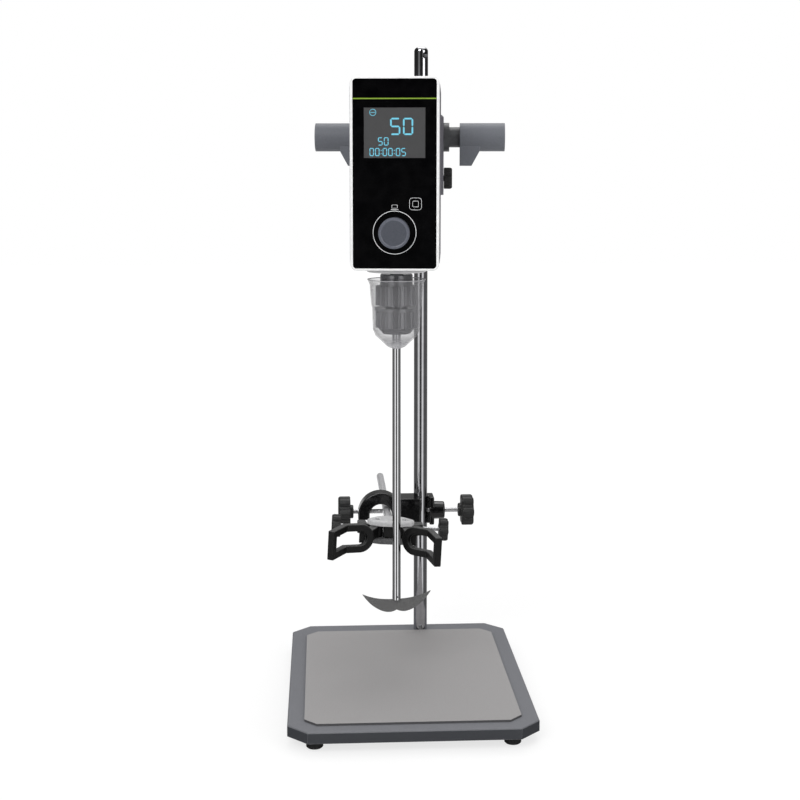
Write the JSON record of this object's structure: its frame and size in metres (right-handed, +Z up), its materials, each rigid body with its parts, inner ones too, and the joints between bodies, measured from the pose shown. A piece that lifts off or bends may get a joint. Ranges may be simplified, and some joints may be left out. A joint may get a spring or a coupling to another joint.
{
  "type": "overhead stirrer",
  "caption": "Laboratory overhead stirrer on a plate stand, with a lifting head, chuck with guard, crescent paddle, boss head and flask clamp.",
  "frame": {"origin": "middle of the base plate's width and depth, at the floor", "axes": "+Z up, +X to the right and -Y towards the user who faces the panel"},
  "size_m": [0.222, 0.434, 0.6238],
  "materials": {
    "plate_paint": "satin paint",
    "mat": "matte",
    "foot_rubber": "matte",
    "stainless": "polished",
    "zinc": "plain",
    "brass": "plain",
    "cast_black": "gloss paint",
    "cast_grey": "as cast",
    "carriage_paint": "satin paint",
    "grip_plastic": "satin",
    "black_plastic": "satin",
    "shell_plastic": "satin",
    "bezel_plastic": "satin",
    "glass": "gloss",
    "display": "satin",
    "board": "satin",
    "knob_plastic": "satin",
    "chuck_steel": "satin",
    "guard_plastic": "translucent",
    "paddle_coat": "matte",
    "jaw_rubber": "matte",
    "motor": "plain"
  },
  "bodies": {
    "base": {"base_plate": "plate_paint", "base_mat": "mat", "foot_front_left": "foot_rubber", "foot_front_right": "foot_rubber", "foot_rear_left": "foot_rubber", "foot_rear_right": "foot_rubber", "column_lower": "stainless", "column_upper": "stainless", "column_stud": "stainless", "column_nut": "zinc"},
    "bush": {"guide_bush": "brass"},
    "head": {"carriage_body": "carriage_paint", "neck_left": "black_plastic", "neck_right": "black_plastic", "grip_left": "grip_plastic", "grip_right": "grip_plastic", "support_bar": "stainless", "arm_flange": "cast_black", "rear_housing": "shell_plastic", "front_bezel": "bezel_plastic", "front_panel": "glass", "display_module": "display", "circuit_board": "board", "encoder_body": "black_plastic", "bearing_boss": "cast_grey", "spindle_bearing": "zinc", "motor_can": "motor", "dc_jack": "black_plastic"},
    "carriage_lock": {"lock_screw": "zinc", "lock_knob": "black_plastic"},
    "knob_plunger": {"encoder_plunger": "zinc"},
    "knob": {"control_knob": "knob_plastic"},
    "switch": {"switch_rocker": "black_plastic"},
    "stirrer": {"spindle": "stainless", "chuck_body": "chuck_steel", "chuck_jaw_a": "zinc", "chuck_jaw_b": "zinc", "chuck_jaw_c": "zinc", "stirring_rod": "stainless", "paddle": "paddle_coat", "paddle_pin": "zinc"},
    "sleeve": {"chuck_sleeve": "chuck_steel"},
    "guard": {"chuck_guard": "guard_plastic", "guard_funnel": "guard_plastic"},
    "bosshead": {"bosshead_body": "cast_black"},
    "column_clamp_screw": {"column_screw": "zinc", "column_knob": "black_plastic"},
    "rod_clamp_screw": {"rod_screw": "zinc", "rod_knob": "black_plastic"},
    "clamp": {"clamp_rod": "cast_grey", "clamp_body": "cast_grey", "clamp_lower_plate": "cast_grey", "jaw_pin_left": "zinc", "jaw_pin_right": "zinc"},
    "left_jaw": {"jaw_left": "jaw_rubber"},
    "right_jaw": {"jaw_right": "jaw_rubber"},
    "left_adjuster": {"jaw_screw_left": "zinc", "jaw_knob_left": "black_plastic"},
    "right_adjuster": {"jaw_screw_right": "zinc", "jaw_knob_right": "black_plastic"}
  },
  "joints": [
    {"name": "head_lift", "type": "slide", "parent": "base", "child": "bush", "axis": [0, 0, 1], "range_m": [-0.05, 0.025]},
    {"name": "head_swivel", "type": "hinge", "parent": "bush", "child": "head", "pos_m": [0.023, 0.1255, 0.516], "axis": [0, 0, 1], "range_deg": [-7, 3]},
    {"name": "carriage_lock_turn", "type": "hinge", "parent": "head", "child": "carriage_lock", "pos_m": [0.05088, 0.12296, 0.4923], "axis": [0.9959, -0.0906, 0], "range_deg": [-180, 180]},
    {"name": "knob_push", "type": "slide", "parent": "head", "child": "knob_plunger", "axis": [0.0906, 0.9959, 0], "range_m": [0, 0.001], "stiffness_N_per_m": 1500, "springref_m": -0.001},
    {"name": "knob_turn", "type": "hinge", "parent": "knob_plunger", "child": "knob", "pos_m": [-0.01353, -0.05192, 0.4446], "axis": [-0.0906, -0.9959, 0], "continuous": true},
    {"name": "power_switch", "type": "hinge", "parent": "head", "child": "switch", "pos_m": [0.01898, 0.0847, 0.443], "axis": [0.9959, -0.0906, 0], "range_deg": [-8, 8]},
    {"name": "stirrer_spin", "type": "hinge", "parent": "head", "child": "stirrer", "pos_m": [-0.00855, 0.00285, 0.403], "axis": [0, 0, -1], "continuous": true},
    {"name": "chuck_sleeve_turn", "type": "hinge", "parent": "stirrer", "child": "sleeve", "pos_m": [-0.00855, 0.00285, 0.363], "axis": [0, 0, 1], "range_deg": [-180, 180]},
    {"name": "guard_slide", "type": "slide", "parent": "stirrer", "child": "guard", "axis": [0, 0, 1], "range_m": [-0.1, 0.001]},
    {"name": "bosshead_lift", "type": "slide", "parent": "base", "child": "bosshead", "axis": [0, 0, 1], "range_m": [-0.025, 0.14]},
    {"name": "column_screw_turn", "type": "hinge", "parent": "bosshead", "child": "column_clamp_screw", "pos_m": [0.063, 0.1255, 0.1471], "axis": [1, 0, 0], "range_deg": [-180, 180]},
    {"name": "rod_screw_turn", "type": "hinge", "parent": "bosshead", "child": "rod_clamp_screw", "pos_m": [-0.047, 0.1255, 0.1465], "axis": [-1, 0, 0], "range_deg": [-180, 180]},
    {"name": "clamp_slide", "type": "slide", "parent": "bosshead", "child": "clamp", "axis": [0, 1, 0], "range_m": [-0.008, 0.02]},
    {"name": "left_jaw_swing", "type": "hinge", "parent": "clamp", "child": "left_jaw", "pos_m": [-0.02578, 0.0465, 0.14721], "axis": [0.0523, 0, 0.9986], "range_deg": [-9, 18]},
    {"name": "right_jaw_swing", "type": "hinge", "parent": "clamp", "child": "right_jaw", "pos_m": [0.00138, 0.0465, 0.14579], "axis": [0.0523, 0, 0.9986], "range_deg": [-4, 9]},
    {"name": "left_adjuster_turn", "type": "hinge", "parent": "left_jaw", "child": "left_adjuster", "pos_m": [-0.05714, 0.0589, 0.14885], "axis": [-0.9986, 0, 0.0523], "range_deg": [-180, 180]},
    {"name": "right_adjuster_turn", "type": "hinge", "parent": "right_jaw", "child": "right_adjuster", "pos_m": [0.03274, 0.0589, 0.14414], "axis": [0.9986, 0, -0.0523], "range_deg": [-180, 180]}
  ]
}
